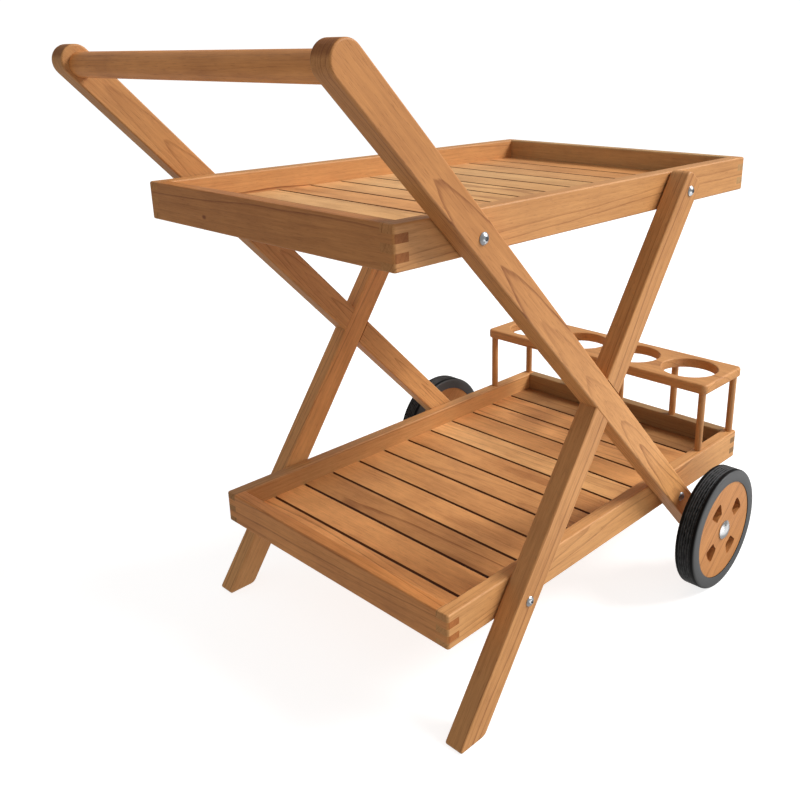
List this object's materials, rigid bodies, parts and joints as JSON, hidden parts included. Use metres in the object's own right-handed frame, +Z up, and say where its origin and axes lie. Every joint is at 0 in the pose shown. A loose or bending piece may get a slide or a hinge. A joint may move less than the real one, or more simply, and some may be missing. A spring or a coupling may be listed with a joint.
{
  "type": "serving trolley",
  "caption": "Teak serving trolley with two slatted trays, crossed legs, a push bar, a bottle rack and two rubber-tyred wheels.",
  "frame": {"origin": "on the floor, under the middle of the trolley's overall length and width", "axes": "+X from the handle end to the wheel end, +Y to the left of somebody who pushes it, +Z up"},
  "size_m": [0.8901, 0.652, 0.8288],
  "materials": {
    "teak": "planed teak, lightly oiled, satin",
    "teak_slats": "planed teak boards of uneven tone, satin",
    "tyre_rubber": "solid black rubber, matt, ribbed tread",
    "bright_steel": "bright plated steel",
    "zinc_plated_steel": "zinc-plated steel",
    "brass": "turned brass",
    "nylon": "natural nylon"
  },
  "bodies": {
    "frame": {"axle_inserts": "brass", "axle_sleeves": "zinc_plated_steel", "axle_washers": "zinc_plated_steel", "bottle_rack_board": "teak", "handle_bar": "teak", "left_hub_cap": "bright_steel", "left_long_leg": "teak", "left_short_leg": "teak", "leg_bolts": "zinc_plated_steel", "leg_spacer_washers": "zinc_plated_steel", "lower_tray_handle_end_rail": "teak", "lower_tray_left_rail": "teak", "lower_tray_right_rail": "teak", "lower_tray_slat_01": "teak_slats", "lower_tray_slat_02": "teak_slats", "lower_tray_slat_03": "teak_slats", "lower_tray_slat_04": "teak_slats", "lower_tray_slat_05": "teak_slats", "lower_tray_slat_06": "teak_slats", "lower_tray_slat_07": "teak_slats", "lower_tray_slat_08": "teak_slats", "lower_tray_slat_09": "teak_slats", "lower_tray_slat_10": "teak_slats", "lower_tray_slat_11": "teak_slats", "lower_tray_slat_12": "teak_slats", "lower_tray_wheel_end_rail": "teak", "rack_post_back_1": "teak", "rack_post_back_2": "teak", "rack_post_back_3": "teak", "rack_post_back_4": "teak", "rack_post_back_5": "teak", "rack_post_front_left": "teak", "rack_post_front_right": "teak", "right_hub_cap": "bright_steel", "right_long_leg": "teak", "right_short_leg": "teak", "stub_axles": "zinc_plated_steel", "threaded_inserts": "brass", "top_tray_handle_end_rail": "teak", "top_tray_left_rail": "teak", "top_tray_right_rail": "teak", "top_tray_slat_01": "teak_slats", "top_tray_slat_02": "teak_slats", "top_tray_slat_03": "teak_slats", "top_tray_slat_04": "teak_slats", "top_tray_slat_05": "teak_slats", "top_tray_slat_06": "teak_slats", "top_tray_slat_07": "teak_slats", "top_tray_slat_08": "teak_slats", "top_tray_slat_09": "teak_slats", "top_tray_slat_10": "teak_slats", "top_tray_slat_11": "teak_slats", "top_tray_slat_12": "teak_slats", "top_tray_wheel_end_rail": "teak"},
    "left_wheel": {"left_tyre": "tyre_rubber", "left_wheel_disc": "teak", "left_hub_bush": "nylon"},
    "right_wheel": {"right_tyre": "tyre_rubber", "right_wheel_disc": "teak", "right_hub_bush": "nylon"}
  },
  "joints": [
    {"name": "left_wheel_spin", "type": "hinge", "parent": "frame", "child": "left_wheel", "pos_m": [0.25161, 0.304, 0.098], "axis": [0, 1, 0], "continuous": true},
    {"name": "right_wheel_spin", "type": "hinge", "parent": "frame", "child": "right_wheel", "pos_m": [0.25161, -0.304, 0.098], "axis": [0, 1, 0], "continuous": true}
  ]
}
